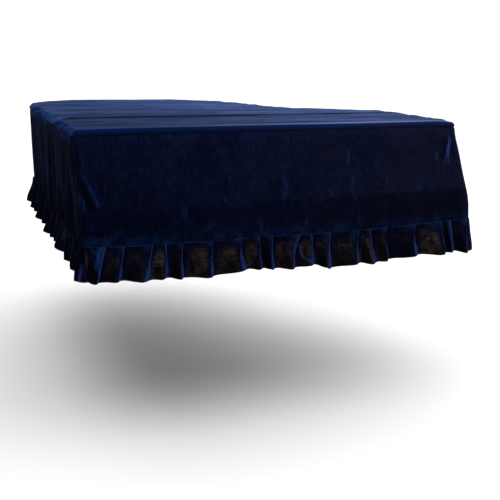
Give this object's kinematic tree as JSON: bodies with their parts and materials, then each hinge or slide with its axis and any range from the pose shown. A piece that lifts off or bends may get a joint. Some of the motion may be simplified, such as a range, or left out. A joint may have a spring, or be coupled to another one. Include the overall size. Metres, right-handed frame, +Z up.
{
  "type": "fitted grand piano cover",
  "caption": "Fitted velvet cover for a closed grand piano: flat harp-shaped top, hanging skirt that slopes out over the keyboard, and a knife-pleated ruffle all round.",
  "frame": {"origin": "on the underside of the top panel, where the closed lid carries the cover: midway across the keyboard side and 0.70 m behind the lid's front edge", "axes": "+Z up; the keyboard side faces -Y and the tail points to +Y; the straight bass side faces -X and the bent treble side +X"},
  "size_m": [1.5571, 1.9398, 0.4852],
  "materials": {
    "top_velvet": "navy blue velvet, nap catching the light",
    "skirt_velvet": "dark navy blue velvet",
    "ruffle_velvet": "dark navy blue velvet, pleated"
  },
  "bodies": {
    "root": {"top_panel": "top_velvet", "drop_skirt": "skirt_velvet", "pleat_ruffle": "ruffle_velvet"}
  },
  "joints": []
}
